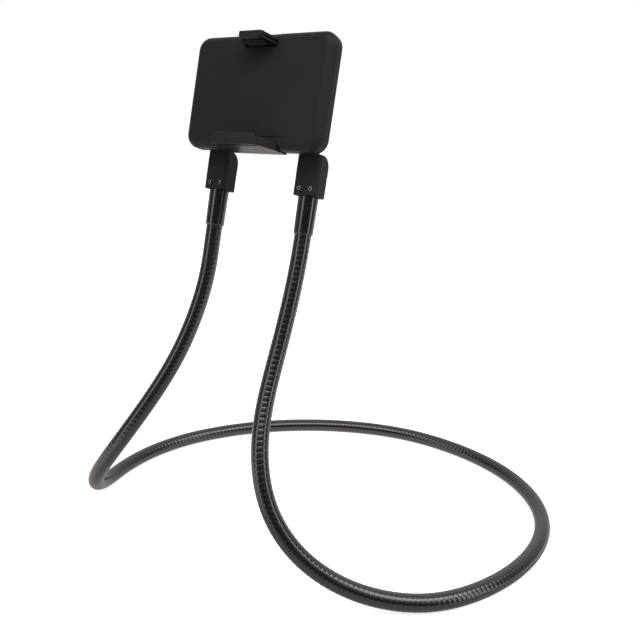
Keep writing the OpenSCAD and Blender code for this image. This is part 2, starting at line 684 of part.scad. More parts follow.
// The guide plate between the slides, with rails on both faces and the springs' posts
module slide_guide() {
    plate_y = inside_mid - guide_t / 2;
    front_rail_l = plate_y - inside_front - part_gap;
    rear_rail_y = inside_mid + guide_t / 2;
    rear_rail_l = inside_back - rear_rail_y - part_gap;
    in_pose() color(black) difference() {
        union() {
            slab(holder_w - 2 * wall - 2 * slide_gap, holder_h - 2 * wall - 2 * slide_gap,
                plate_y, plate_y + guide_t, corner_r - wall);
            for (x = [-1, 1]) {
                rail(x * (top_stem_w / 2 + slide_gap + rail_w / 2), plate_y - front_rail_l, plate_y + over,
                    top_foot_z + foot_h + top_travel + over, top_window_low - over);
                rail(x * (top_foot_w / 2 + slide_gap + rail_w / 2), plate_y - front_rail_l, plate_y + over,
                    top_foot_z, top_foot_z + foot_h + top_travel);
                rail(x * (bottom_stem_w / 2 + slide_gap + rail_w / 2), rear_rail_y - over, rear_rail_y + rear_rail_l,
                    bottom_window_top, bottom_foot_z - bottom_travel - over);
                rail(x * (bottom_foot_w / 2 + slide_gap + rail_w / 2), rear_rail_y - over, rear_rail_y + rear_rail_l,
                    bottom_foot_z - bottom_travel + foot_h, bottom_foot_z + foot_h);
                translate([x * top_spring_x, plate_y - front_rail_l, top_anchor_z]) bar_y(peg_d, front_rail_l + over / 2);
                translate([x * bottom_spring_x, rear_rail_y - over / 2, bottom_anchor_z]) bar_y(peg_d, rear_rail_l + over / 2);
            }
        }
        span_box([-bottom_window_w / 2, plate_y - over, bottom_z - over],
            [bottom_window_w / 2, plate_y + guide_t + over, bottom_window_top - over]);
        span_box([-top_window_w / 2, plate_y - over, top_window_low],
            [top_window_w / 2, plate_y + guide_t + over, top_z + over]);
        for (p = screw_places) translate([p[0], plate_y - over, p[1]]) bar_y(screw_d + 2 * fit, guide_t + 2 * over);
    }
}

module rail(x, y0, y1, z0, z1) {
    span_box([x - rail_w / 2, y0, z0], [x + rail_w / 2, y1, z1]);
}

// A closely wound spring with an eye at each end, from z = 0 to z = l
module jaw_spring(l) {
    coil_l = l - 2 * spring_tail;
    color(steel) {
        translate([0, 0, spring_tail]) difference() {
            cylinder(d = spring_d, h = coil_l);
            translate([0, 0, wire_d]) cylinder(d = spring_d - 2 * wire_d, h = coil_l - 2 * wire_d);
            translate([0, 0, -over]) cylinder(d = spring_d - 4 * wire_d, h = coil_l + 2 * over);
        }
        for (z = [0, l]) translate([0, 0, z]) rotate([90, 0, 0])
            rotate_extrude() translate([eye_d / 2, 0]) circle(d = wire_d, $fn = 16);
    }
}

module top_spring(x) {
    in_pose() translate([x * top_spring_x, (inside_front + inside_mid - guide_t / 2) / 2, top_anchor_z])
        jaw_spring(top_foot_z + foot_h / 2 - top_anchor_z);
}

module bottom_spring(x) {
    peg_z = bottom_foot_z + foot_h / 2;
    in_pose() translate([x * bottom_spring_x, (inside_back + inside_mid + guide_t / 2) / 2, peg_z])
        jaw_spring(bottom_anchor_z - peg_z);
}

gooseneck_cover();
gooseneck_core();
end_stud(-1);  // left_end_stud
end_stud(1);  // right_end_stud
ferrule(-1);  // left_ferrule
ferrule(1);  // right_ferrule
at_arm(-1) block();  // left_block
at_arm(1) block();  // right_block
set_screws();
hinge_pin(-1);  // left_hinge_pin
hinge_pin(1);  // right_hinge_pin
friction_washers();
hinge_bracket();
bracket_screws();
rear_cover();
front_cover();
cover_screws();
slide_guide();
top_jaw();
jaw_pad(top_lip_w, top_arm_low, top_reach, 1);  // top_jaw_pad
bottom_jaw();
jaw_pad(bottom_lip_w, bottom_arm_top, bottom_reach, -1);  // bottom_jaw_pad
top_spring(-1);  // top_left_spring
top_spring(1);  // top_right_spring
bottom_spring(-1);  // bottom_left_spring
bottom_spring(1);  // bottom_right_spring
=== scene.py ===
import math

import bmesh
import bpy
from mathutils import Matrix, Vector


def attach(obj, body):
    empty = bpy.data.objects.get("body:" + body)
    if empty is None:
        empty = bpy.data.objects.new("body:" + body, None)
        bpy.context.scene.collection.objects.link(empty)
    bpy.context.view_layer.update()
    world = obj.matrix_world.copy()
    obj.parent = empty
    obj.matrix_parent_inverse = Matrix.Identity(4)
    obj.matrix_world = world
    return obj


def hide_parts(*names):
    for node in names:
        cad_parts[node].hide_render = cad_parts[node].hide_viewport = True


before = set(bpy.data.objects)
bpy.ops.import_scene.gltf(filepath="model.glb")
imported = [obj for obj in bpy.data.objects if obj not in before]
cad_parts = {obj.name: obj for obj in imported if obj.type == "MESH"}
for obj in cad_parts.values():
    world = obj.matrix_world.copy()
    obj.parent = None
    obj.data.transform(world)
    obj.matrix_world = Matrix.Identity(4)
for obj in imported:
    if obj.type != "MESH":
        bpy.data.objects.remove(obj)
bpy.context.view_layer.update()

MM = 0.001

# ---- Sizes, in millimetres, as in the part's source ----

# Gooseneck
TUBE_R = 5
RIB_PITCH = 3.1
RIB_DEPTH = 0.15
RIB_ARCH = 0.03
FLOOR_FLAT = 0.5
LOOP_W = 290
LOOP_D = 224
HINGE_H = 225.2
HINGE_SHARES = (-0.1315, -0.1642, 1)
CENTRE_SHARES = (-0.01111, -0.0039)
LEFT_ARM_SHARES = [(-0.235, -0.24, 0.695), (-0.24, -0.28, 0.59), (-0.255, -0.34, 0.468),
                   (-0.28, -0.42, 0.354), (-0.328, -0.488, 0.227), (-0.387, -0.5, 0.118),
                   (-0.43, -0.453, 0.041)]
LOOP_SHARES = [(-0.459, -0.382, 0.005), (-0.472, -0.313, 0), (-0.478, -0.26, 0),
               (-0.477, -0.147, 0), (-0.442, 0.008, 0), (-0.36, 0.17, 0), (-0.265, 0.295, 0),
               (-0.14, 0.41, 0),
               (0, 0.485, 0), (0.12, 0.508, 0), (0.26, 0.488, 0), (0.385, 0.415, 0),
               (0.474, 0.286, 0), (0.509, 0.118, 0), (0.484, -0.077, 0), (0.419, -0.246, 0),
               (0.34, -0.352, 0)]
RIGHT_ARM_SHARES = [(0.235, -0.434, 0.03), (0.139, -0.488, 0.106), (0.066, -0.498, 0.214),
                    (0.022, -0.458, 0.334), (-0.003, -0.386, 0.44), (-0.009, -0.31, 0.57),
                    (-0.009, -0.26, 0.695)]

# Blocks, ferrules and hinge
ARM_SPACING = 64.5
BLOCK_W = 15.5
BLOCK_D = 13
BLOCK_R = 2.5
BLOCK_DROP = 17
FERRULE_D = 12
FERRULE_END_D = 11.4
FERRULE_L = 22
FERRULE_LIP_R = 1
STUD_D = 9
SET_SCREW_D = 2.5
SET_SCREW_SPACING = 7.4
SET_SCREW_RISE = 4
SET_SCREW_L = 2.38
SET_SCREW_RECESS = 0.3
SET_SOCKET_SHARE = 0.56
SOCKET_DEPTH = 1.3
LEAN = math.radians(15)
SIDE_TILT = math.radians(2.4)
PIN_D = 4
BROW_R = 0.8
FORK_R = 4.7
LUG_R = 4.45
LUG_W = 6.4
WASHER_T = 0.5

# Holder, measured from the middle of the hinge axis
HOLDER_W = 94
HOLDER_H = 65.5
HOLDER_D = 12
CORNER_R = 8
FRONT_EDGE_R = 5
BACK_EDGE_R = 3
WALL = 2
REAR_T = 3.5
BOTTOM_Z = 4.7
BACK_Y = -9.9
SCREW_D = 2.5

# Jaws
TOP_REACH = 12
BOTTOM_REACH = 13.5
LIP_T = 2.6
TOP_LIP_W = 15
TOP_ROOT_W = 21.5
TOP_ARM_T = 3.6
TOP_ARM_DROP = 3.9
BOTTOM_LIP_W = 30
BOTTOM_ROOT_W = 39.4
BOTTOM_ARM_T = 4.4
BOTTOM_PROUD = 0.8
TOP_HOOK = 1
BOTTOM_HOOK = 1.9
SLIDE_T = 2.4
GUIDE_T = 1.4
PAD_T = 1
GROOVE_W = 0.5
STEM_INSET = 1.2
FOOT_OUT = 5.5
FOOT_H = 5

# Small gaps, and how far a face is drawn back so that it never lies in another's plane
HAIR = 0.001
FIT = 0.05
SLIDE_GAP = 0.25
PART_GAP = 0.15

FRONT_Y = BACK_Y - HOLDER_D
PART_Y = BACK_Y - REAR_T
TOP_Z = BOTTOM_Z + HOLDER_H
MIDDLE_Z = (BOTTOM_Z + TOP_Z) / 2
INSIDE_FRONT = FRONT_Y + WALL
INSIDE_BACK = BACK_Y - WALL
INSIDE_MID = (INSIDE_FRONT + INSIDE_BACK) / 2
FLOOR_Z = TUBE_R - FLOOR_FLAT
FERRULE_TOP = -BLOCK_DROP - FIT
HOSE_TOP = FERRULE_TOP - 4 - FIT
HOSE_TURN = FERRULE_TOP - FERRULE_L - 2 * TUBE_R


def in_loop(share):
    """A point from shares of the loop's width and depth and of the hinge's height."""
    return Vector(((share[0] + CENTRE_SHARES[0]) * LOOP_W, (share[1] + CENTRE_SHARES[1]) * LOOP_D,
                   FLOOR_Z + share[2] * HINGE_H))


POSE = (Matrix.Translation(in_loop(HINGE_SHARES)) @ Matrix.Rotation(-SIDE_TILT, 4, "Y")
        @ Matrix.Rotation(-LEAN, 4, "X"))

# ---- Camera, at the photograph's place ----

CAMERA_YAW_COS, CAMERA_YAW_SIN = 0.8777, 0.4788
CAMERA_DIP = math.radians(17.35)
CAMERA_ROLL = math.radians(-3.45)
CAMERA_AT = Vector((0.182778, -0.369874, 0.2594))
CAMERA_LENS = 36.5625


def make_camera():
    """The camera's axes in the frame come from its yaw, dip and roll."""
    turn = Matrix(((CAMERA_YAW_COS, -CAMERA_YAW_SIN, 0),
                   (CAMERA_YAW_SIN, CAMERA_YAW_COS, 0),
                   (0, 0, 1)))
    ahead = Vector((0, math.cos(CAMERA_DIP), -math.sin(CAMERA_DIP)))
    down = Vector((0, -math.sin(CAMERA_DIP), -math.cos(CAMERA_DIP)))
    right = Vector((1, 0, 0))
    image_x = right * math.cos(CAMERA_ROLL) + down * math.sin(CAMERA_ROLL)
    image_y = down * math.cos(CAMERA_ROLL) - right * math.sin(CAMERA_ROLL)
    axes = Matrix((turn @ image_x, -(turn @ image_y), -(turn @ ahead))).transposed().to_4x4()
    data = bpy.data.cameras.new("photo_camera")
    data.lens = CAMERA_LENS
    data.sensor_width = 36
    data.sensor_fit = "HORIZONTAL"
    data.clip_start = 0.01
    data.clip_end = 20
    camera = bpy.data.objects.new("photo_camera", data)
    bpy.context.scene.collection.objects.link(camera)
    camera.matrix_world = Matrix.Translation(CAMERA_AT) @ axes
    bpy.context.scene.camera = camera


# ---- Materials ----

def new_material(name, colour, roughness, metallic=0, ior=1.5):
    material = bpy.data.materials.new(name)
    material.use_nodes = True
    nodes = material.node_tree.nodes
    shader = nodes["Principled BSDF"]
    shader.inputs["Base Color"].default_value = (*colour, 1)
    shader.inputs["Roughness"].default_value = roughness
    shader.inputs["Metallic"].default_value = metallic
    shader.inputs["IOR"].default_value = ior
    place = nodes.new("ShaderNodeTexCoord").outputs["Object"]
    return material, shader, place


def add_noise(material, place, scale, detail=3, stretch=(1, 1, 1)):
    tree = material.node_tree
    mapping = tree.nodes.new("ShaderNodeMapping")
    mapping.inputs["Scale"].default_value = stretch
    tree.links.new(place, mapping.inputs["Vector"])
    noise = tree.nodes.new("ShaderNodeTexNoise")
    noise.inputs["Scale"].default_value = scale
    noise.inputs["Detail"].default_value = detail
    tree.links.new(mapping.outputs["Vector"], noise.inputs["Vector"])
    return noise.outputs["Fac"]


def between(material, factor, low, high):
    """A number that goes from low to high as a noise goes through its usual range."""
    node = material.node_tree.nodes.new("ShaderNodeMapRange")
    node.inputs["From Min"].default_value = 0.3
    node.inputs["From Max"].default_value = 0.7
    node.inputs["To Min"].default_value = low
    node.inputs["To Max"].default_value = high
    material.node_tree.links.new(factor, node.inputs["Value"])
    return node.outputs["Result"]


def two_tones(material, factor, first, second):
    node = material.node_tree.nodes.new("ShaderNodeMix")
    node.data_type = "RGBA"
    node.inputs["A"].default_value = (*first, 1)
    node.inputs["B"].default_value = (*second, 1)
    material.node_tree.links.new(factor, node.inputs["Factor"])
    return node.outputs["Result"]


def add_bump(material, shader, height, distance, strength, under=None):
    node = material.node_tree.nodes.new("ShaderNodeBump")
    node.inputs["Distance"].default_value = distance
    node.inputs["Strength"].default_value = strength
    material.node_tree.links.new(height, node.inputs["Height"])
    if under is not None:
        material.node_tree.links.new(under, node.inputs["Normal"])
    material.node_tree.links.new(node.outputs["Normal"], shader.inputs["Normal"])
    return node.outputs["Normal"]


def make_plastic(name, dark, light, rough_low, rough_high, shine):
    """Moulded plastic with a fine eroded grain."""
    material, shader, place = new_material(name, dark, rough_low)
    shader.inputs["Specular IOR Level"].default_value = shine
    link = material.node_tree.links.new
    cloud = add_noise(material, place, 45, 4)
    grain = add_noise(material, place, 2600, 2)
    coarse = add_noise(material, place, 700, 3)
    link(two_tones(material, between(material, cloud, 0, 1), dark, light), shader.inputs["Base Color"])
    link(between(material, coarse, rough_low, rough_high), shader.inputs["Roughness"])
    first = add_bump(material, shader, coarse, 0.00003, 0.35)
    add_bump(material, shader, grain, 0.00003, 0.5, first)
    return material


def make_coated_metal(name, dark, light, rough_low, rough_high):
    """Hard black plating over wound metal, with a faint orange peel and fine rubbed marks."""
    material, shader, place = new_material(name, dark, rough_low, ior=1.9)
    link = material.node_tree.links.new
    cloud = add_noise(material, place, 90, 5)
    peel = add_noise(material, place, 420, 2)
    rubbed = add_noise(material, place, 1500, 3, (1, 1, 0.15))
    link(two_tones(material, between(material, cloud, 0, 1), dark, light), shader.inputs["Base Color"])
    link(between(material, rubbed, rough_low, rough_high), shader.inputs["Roughness"])
    add_bump(material, shader, peel, 0.00004, 0.25)
    return material


def make_steel(name, dark, light, roughness=(0.24, 0.4)):
    """Turned steel: fine lines across its length."""
    material, shader, place = new_material(name, light, 0.3, metallic=1)
    link = material.node_tree.links.new
    lines = add_noise(material, place, 900, 4, (0.2, 1, 4))
    link(two_tones(material, between(material, lines, 0, 1), dark, light), shader.inputs["Base Color"])
    link(between(material, lines, *roughness), shader.inputs["Roughness"])
    add_bump(material, shader, lines, 0.00002, 0.3)
    return material


def make_rubber(name, dark, light):
    """Dull rubber with a powdery surface."""
    material, shader, place = new_material(name, dark, 0.8)
    link = material.node_tree.links.new
    cloud = add_noise(material, place, 300, 4)
    grain = add_noise(material, place, 3200, 2)
    link(two_tones(material, between(material, cloud, 0, 1), dark, light), shader.inputs["Base Color"])
    link(between(material, grain, 0.7, 0.9), shader.inputs["Roughness"])
    add_bump(material, shader, grain, 0.00004, 0.6)
    return material


COVER_PLASTIC = make_plastic("cover_plastic", (0.0187, 0.0186, 0.019), (0.022, 0.0219, 0.0223),
                             0.42, 0.52, 0.15)
JAW_PLASTIC = make_plastic("jaw_plastic", (0.0152, 0.015, 0.015), (0.0185, 0.0182, 0.0182),
                           0.36, 0.44, 0.3)
BLOCK_PLASTIC = make_plastic("block_plastic", (0.021, 0.021, 0.0214), (0.025, 0.025, 0.0254),
                             0.46, 0.56, 0.15)
HOSE_COAT = make_coated_metal("hose_coat", (0.0055, 0.0055, 0.006), (0.008, 0.0078, 0.008),
                              0.18, 0.25)
FERRULE_COAT = make_coated_metal("ferrule_coat", (0.005, 0.005, 0.0055), (0.007, 0.007, 0.0075),
                                 0.14, 0.2)
STEEL = make_steel("turned_steel", (0.42, 0.42, 0.43), (0.6, 0.6, 0.61))
DARK_STEEL = make_steel("blackened_steel", (0.06, 0.06, 0.065), (0.11, 0.11, 0.115))
RING_STEEL = make_steel("ring_steel", (0.38, 0.38, 0.38), (0.55, 0.55, 0.55), (0.45, 0.6))
# Near-black steel for the walls and floor of the set screws' hex sockets: painted shade, the dark of the
# recess put into the colour
SOCKET_PAINTED_SHADE = make_steel("socket_painted_shade", (0.012, 0.012, 0.012), (0.02, 0.02, 0.02))
PAD_RUBBER = make_rubber("pad_rubber", (0.012, 0.0115, 0.0115), (0.017, 0.0165, 0.0165))

# ---- Mesh helpers: everything is drawn in millimetres, in the leaning frame of the hinge ----


def new_object(name, points, faces):
    mesh = bpy.data.meshes.new(name)
    mesh.from_pydata([tuple(p) for p in points], [], faces)
    obj = bpy.data.objects.new(name, mesh)
    bpy.context.scene.collection.objects.link(obj)
    tidy(obj)
    return obj


def tidy(obj):
    bm = bmesh.new()
    bm.from_mesh(obj.data)
    bmesh.ops.remove_doubles(bm, verts=bm.verts, dist=0.0005)
    bmesh.ops.recalc_face_normals(bm, faces=bm.faces)
    bm.to_mesh(obj.data)
    bm.free()


def loft(name, rings):
    """Closed rings of equal length joined in order, with the first and last one capped."""
    n = len(rings[0])
    faces = [(a * n + i, a * n + (i + 1) % n, (a + 1) * n + (i + 1) % n, (a + 1) * n + i)
             for a in range(len(rings) - 1) for i in range(n)]
    last = (len(rings) - 1) * n
    faces += [tuple(range(n)), tuple(range(last, last + n))]
    return new_object(name, [p for ring in rings for p in ring], faces)


def box(low, high):
    ring = [(low[0], low[1]), (high[0], low[1]), (high[0], high[1]), (low[0], high[1])]
    return loft("box", [[(x, y, z) for x, y in ring] for z in (low[2], high[2])])


def prism(points, low, high, axis):
    """An outline pushed along an axis: its points are in the other two axes, in their order."""
    def placed(p, at):
        values = list(p)
        values.insert(axis, at)
        return tuple(values)
    return loft("prism", [[placed(p, at) for p in points] for at in (low, high)])


def lathe(stations, axis, centre=(0, 0, 0), sides=64):
    """Rings of the given (place along the axis, radius) about an axis."""
    rings = []
    for at, radius in stations:
        ring = []
        for k in range(sides):
            a = 2 * math.pi * (k + 0.5) / sides
            values = [radius * math.cos(a), radius * math.sin(a)]
            values.insert(axis, at)
            ring.append(tuple(v + c for v, c in zip(values, centre)))
        rings.append(ring)
    return loft("lathe", rings)


def rounded(w, h, r, turns=10):
    """The points of a rectangle with round corners, about the origin."""
    points = []
    for sx, sy, start in ((1, 1, 0), (-1, 1, 90), (-1, -1, 180), (1, -1, 270)):
        for k in range(turns + 1):
            a = math.radians(start + 90 * k / turns)
            points.append((sx * (w / 2 - r) + r * math.cos(a), sy * (h / 2 - r) + r * math.sin(a)))
    return points


def slab_ring(y, inset):
    """The holder's outline in the plane at y, drawn in by inset on every side."""
    return [(x, y, MIDDLE_Z + z)
            for x, z in rounded(HOLDER_W - 2 * inset, HOLDER_H - 2 * inset, CORNER_R - inset)]


def holder_form(y0, y1, r0, r1, turns=14):
    """The holder's outer form between two planes, with a front edge radius and a back one."""
    quarter = [math.radians(90 * k / turns) for k in range(turns + 1)]
    rings = [slab_ring(y0 + r0 * (1 - math.cos(a)), r0 * (1 - math.sin(a))) for a in quarter]
    rings += [slab_ring(y1 - r1 * (1 - math.cos(a)), r1 * (1 - math.sin(a))) for a in reversed(quarter)]
    return loft("form", rings)


def bake(obj):
    mesh = bpy.data.meshes.new_from_object(obj.evaluated_get(bpy.context.evaluated_depsgraph_get()))
    obj.modifiers.clear()
    old = obj.data
    obj.data = mesh
    bpy.data.meshes.remove(old)


def delete(obj):
    mesh = obj.data
    bpy.data.objects.remove(obj)
    bpy.data.meshes.remove(mesh)


def join(objects):
    """One object that holds the separate solids of several."""
    bm = bmesh.new()
    for obj in objects:
        bm.from_mesh(obj.data)
    bm.to_mesh(objects[0].data)
    bm.free()
    for obj in objects[1:]:
        delete(obj)
    return objects[0]


def combine(obj, others, operation):
    for other in others:
        modifier = obj.modifiers.new(operation, "BOOLEAN")
        modifier.operation = operation
        modifier.solver = "EXACT"
        modifier.object = other
        bake(obj)
        delete(other)
    tidy(obj)
    return obj


def add(obj, *others):
    return combine(obj, others, "UNION")


def cut(obj, *others):
    return combine(obj, others, "DIFFERENCE")


def meet(obj, *others):
    return combine(obj, others, "INTERSECT")


def soften(obj, width, pick=None, segments=3, angle=40):
    """Rounds the sharp edges, or those whose two ends pick accepts."""
    bm = bmesh.new()
    bm.from_mesh(obj.data)
    bmesh.ops.dissolve_limit(bm, angle_limit=math.radians(0.5), verts=bm.verts, edges=bm.edges)
    edges = [e for e in bm.edges if len(e.link_faces) == 2 and e.calc_face_angle() > math.radians(angle)
             and (pick is None or all(pick(v.co) for v in e.verts))]
    bmesh.ops.bevel(bm, geom=edges, offset=width, offset_type="OFFSET", segments=segments, profile=0.5,
                    affect="EDGES", clamp_overlap=False)
    bm.to_mesh(obj.data)
    bm.free()
    return obj


def dress(obj, name, body, material, nodes=(), posed=True, sharp=35, inner=None):
    """Puts a finished mesh in its place in the frame and gives it its finish.

    inner is a second material and a test of a face's centre, for the faces that it covers."""
    obj.name = name
    obj.data.name = name
    covered = [p.index for p in obj.data.polygons if inner and inner[1](p.center)]
    obj.data.transform(Matrix.Scale(MM, 4) @ (POSE if posed else Matrix.Identity(4)))
    obj.data.shade_smooth()
    obj.data.set_sharp_from_angle(angle=math.radians(sharp))
    modifier = obj.modifiers.new("even_normals", "WEIGHTED_NORMAL")
    modifier.keep_sharp = True
    obj.data.materials.clear()
    obj.data.materials.append(material)
    if inner:
        obj.data.materials.append(inner[0])
    for index in covered:
        obj.data.polygons[index].material_index = 1
    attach(obj, body)
    if nodes:
        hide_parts(*nodes)
    return obj


# ---- Gooseneck ----

HOSE_SIDES = 24
RIB_STATIONS = [(0, -RIB_DEPTH), (0.13, -RIB_ARCH), (0.38, 0), (0.66, 0), (0.9, -RIB_ARCH)]


def end_points(side):
    return [POSE @ Vector((side * ARM_SPACING / 2, 0, HOSE_TOP + (HOSE_TURN - HOSE_TOP) * k / 2))
            for k in range(3)]


def centre_line(steps=48):
    """The route's cubic B-spline as closely spaced points, with the distance travelled to each."""
    route = (end_points(-1) + [in_loop(s) for s in LEFT_ARM_SHARES + LOOP_SHARES + RIGHT_ARM_SHARES]
             + end_points(1)[::-1])
    control = [2 * route[0] - route[1]] + route + [2 * route[-1] - route[-2]]
    points = []
    for i in range(len(route) - 1):
        a, b, c, d = control[i:i + 4]
        for k in range(steps if i < len(route) - 2 else steps + 1):
            t = k / steps
            points.append((a * (1 - t) ** 3 + b * (3 * t ** 3 - 6 * t * t + 4)
                           + c * (-3 * t ** 3 + 3 * t * t + 3 * t + 1) + d * t ** 3) / 6)
    travelled = [0]
    for p, q in zip(points, points[1:]):
        travelled.append(travelled[-1] + (q - p).length)
    return points, travelled


def carried_frames(points):
    """A heading and two sides at each point, turned as little as possible along the way."""
    frames = []
    normal = Vector((1, 0, 0))
    for k in range(len(points)):
        heading = (points[min(k + 1, len(points) - 1)] - points[max(k - 1, 0)]).normalized()
        normal = (normal - heading * normal.dot(heading)).normalized()
        frames.append((normal, heading.cross(normal)))
    return frames


def make_gooseneck():
    """A skin wound in one spiral, each turn with a groove and a raised rib, closed at both ends."""
    points, travelled = centre_line()
    frames = carried_frames(points)
    length = travelled[-1]
    turns = int(length / RIB_PITCH) - 1
    pitch = length / (turns + 1)
    verts = []
    here = 0
    columns = turns * HOSE_SIDES + 1
    for column in range(columns):
        angle = 2 * math.pi * column / HOSE_SIDES
        for share, rise in RIB_STATIONS:
            distance = min(max(pitch * (column / HOSE_SIDES + share), 0), length)
            while here < len(travelled) - 2 and travelled[here + 1] < distance:
                here += 1
            while here > 0 and travelled[here] > distance:
                here -= 1
            t = (distance - travelled[here]) / (travelled[here + 1] - travelled[here])
            at = points[here].lerp(points[here + 1], t)
            side = frames[here][0].lerp(frames[here + 1][0], t)
            across = frames[here][1].lerp(frames[here + 1][1], t)
            p = at + (side * math.cos(angle) + across * math.sin(angle)) * (TUBE_R + rise)
            verts.append((p.x, p.y, max(p.z, 0)))
    k = len(RIB_STATIONS)
    faces = []
    for column in range(columns - 1):
        for j in range(k - 1):
            a = column * k + j
            faces.append((a, a + k, a + k + 1, a + 1))
        a = column * k + k - 1
        b = (column + HOSE_SIDES) * k
        if column + 1 + HOSE_SIDES < columns:
            faces.append((a, a + k, b + k, b))
    for ring in ([i * k for i in range(HOSE_SIDES + 1)],
                 [(columns - 1 - HOSE_SIDES + i) * k + k - 1 for i in range(HOSE_SIDES + 1)]):
        centre = len(verts)
        verts.append(tuple(sum(verts[i][c] for i in ring) / len(ring) for c in range(3)))
        faces += [(a, b, centre) for a, b in zip(ring, ring[1:])]
    bm = bmesh.new()
    made = [bm.verts.new(v) for v in verts]
    for face in faces:
        bm.faces.new([made[i] for i in face])
    bmesh.ops.holes_fill(bm, edges=[e for e in bm.edges if e.is_boundary], sides=0)
    bmesh.ops.recalc_face_normals(bm, faces=bm.faces)
    mesh = bpy.data.meshes.new("gooseneck_hose")
    bm.to_mesh(mesh)
    bm.free()
    obj = bpy.data.objects.new("gooseneck_hose", mesh)
    bpy.context.scene.collection.objects.link(obj)
    return dress(obj, "gooseneck_hose", "arms", HOSE_COAT, ("gooseneck_cover",),
                 posed=False, sharp=80)


# ---- Ferrules, hinge blocks, set screws ----

def arc(radius, start, stop, turns):
    """Points about the origin from one angle to another, in degrees."""
    angles = [math.radians(start + (stop - start) * k / turns) for k in range(turns + 1)]
    return [(radius * math.cos(a), radius * math.sin(a)) for a in angles]


def make_ferrule(side):
    name = ("left", "right")[side > 0] + "_ferrule"
    low = FERRULE_TOP - FERRULE_L
    end_r = FERRULE_END_D / 2
    lip = [(low + FERRULE_LIP_R + FERRULE_LIP_R * s, end_r - FERRULE_LIP_R + FERRULE_LIP_R * c)
           for c, s in arc(1, -80, 0, 10)]
    bore_r = TUBE_R + FIT
    stations = [(low + 6, bore_r), (low + 0.4, bore_r), (low + 0.05, bore_r + 0.12)] + lip
    stations += [(FERRULE_TOP - 0.35, FERRULE_D / 2), (FERRULE_TOP - 0.1, FERRULE_D / 2 - 0.1),
                 (FERRULE_TOP, FERRULE_D / 2 - 0.35), (FERRULE_TOP, STUD_D / 2)]
    obj = lathe(stations, 2, (side * ARM_SPACING / 2, 0, 0), 96)
    return dress(obj, name + "_shell", "arms", FERRULE_COAT, (name,), sharp=50)


def make_block(side):
    name = ("left", "right")[side > 0] + "_block"
    knuckle_r = BLOCK_D / 2
    edge = 0.5
    rings = []

    def ring(z, front, back, inset=0):
        depth = back - front
        r = min(BLOCK_R, depth / 2) - inset
        rings.append([(x, y + (front + back) / 2, z)
                      for x, y in rounded(BLOCK_W - 2 * inset, depth - 2 * inset, max(r, 0.02))])

    for x, y in arc(edge, -90, 0, 5):
        ring(-BLOCK_DROP + edge + y, -knuckle_r, knuckle_r, edge - x)
    for k in range(1, 6):
        ring(-BLOCK_DROP + edge + (BLOCK_DROP - edge) * k / 6, -knuckle_r, knuckle_r)
    brow_z = knuckle_r - BROW_R
    for back, z in arc(knuckle_r, 0, 88, 30):
        over_brow = max(z - brow_z, 0)
        ring(z, -knuckle_r + BROW_R - math.sqrt(BROW_R ** 2 - over_brow ** 2), back)
    obj = loft(name, rings)
    fork_w = LUG_W + 2 * (WASHER_T + 2 * FIT)
    slot = box((-fork_w / 2, -FORK_R, 0), (fork_w / 2, BLOCK_D, BLOCK_D))
    bowl = lathe([(-fork_w / 2, FORK_R), (fork_w / 2, FORK_R)], 0, sides=72)
    pin_hole = lathe([(-BLOCK_W, PIN_D / 2 + FIT), (BLOCK_W / 2 - 1, PIN_D / 2 + FIT)], 0, sides=40)
    screw_holes = [lathe([(-BLOCK_D, SET_SCREW_D / 2 + FIT), (-BLOCK_D / 2 + 3, SET_SCREW_D / 2 + FIT)], 1,
                         (x * SET_SCREW_SPACING / 2, 0, SET_SCREW_RISE - BLOCK_DROP), 40) for x in (-1, 1)]
    cut(obj, add(slot, bowl), pin_hole, join(screw_holes))
    obj.data.transform(Matrix.Translation((side * ARM_SPACING / 2, 0, 0)))
    return dress(obj, name + "_body", "arms", BLOCK_PLASTIC, (name,))


def hexagon(across, axis_y, x, z):
    r = across / math.sqrt(3)
    return [(x + r * math.cos(math.radians(60 * k)), axis_y, z + r * math.sin(math.radians(60 * k)))
            for k in range(6)]


def socket_screw(x, z, face_y, radius, length, way, head_r=0, head_l=0, across_share=0.58):
    """A screw along Y with a hexagon socket: its outer end is at face_y and it runs the way of way."""
    edge = 0.28 if head_r else 0.22
    outer = head_r or radius
    stations = [(face_y, outer - edge), (face_y + way * edge * 0.35, outer - edge * 0.3),
                (face_y + way * edge, outer)]
    if head_r:
        stations += [(face_y + way * head_l, outer), (face_y + way * head_l, radius)]
    stations += [(face_y + way * (length - 0.4), radius), (face_y + way * length, radius - 0.4)]
    obj = lathe(stations, 1, (x, 0, z), 40)
    across = across_share * 2 * outer
    depth = min(SOCKET_DEPTH, length / 2)
    socket = loft("socket", [hexagon(across, y, x, z) for y in (face_y - way, face_y + way * depth)])
    return cut(obj, socket)


def make_set_screws():
    places = [side * ARM_SPACING / 2 + x * SET_SCREW_SPACING / 2 for side in (-1, 1) for x in (-1, 1)]
    z = SET_SCREW_RISE - BLOCK_DROP
    face_y = SET_SCREW_RECESS - BLOCK_D / 2
    screws = [socket_screw(x, z, face_y, SET_SCREW_D / 2, SET_SCREW_L, 1, across_share=SET_SOCKET_SHARE)
              for x in places]
    socket_r = 1.05 * SET_SOCKET_SHARE * SET_SCREW_D / math.sqrt(3)

    def in_socket(p):
        nearest = min(abs(p.x - x) for x in places)
        return math.hypot(nearest, p.z - z) < socket_r and face_y + 0.05 < p.y < face_y + SOCKET_DEPTH

    # The faces inside the hex sockets get the near-black material, which is painted shade in the recess
    return dress(join(screws), "socket_set_screws", "arms", RING_STEEL, ("set_screws",), sharp=40,
                 inner=(SOCKET_PAINTED_SHADE, in_socket))


# ---- Holder covers ----

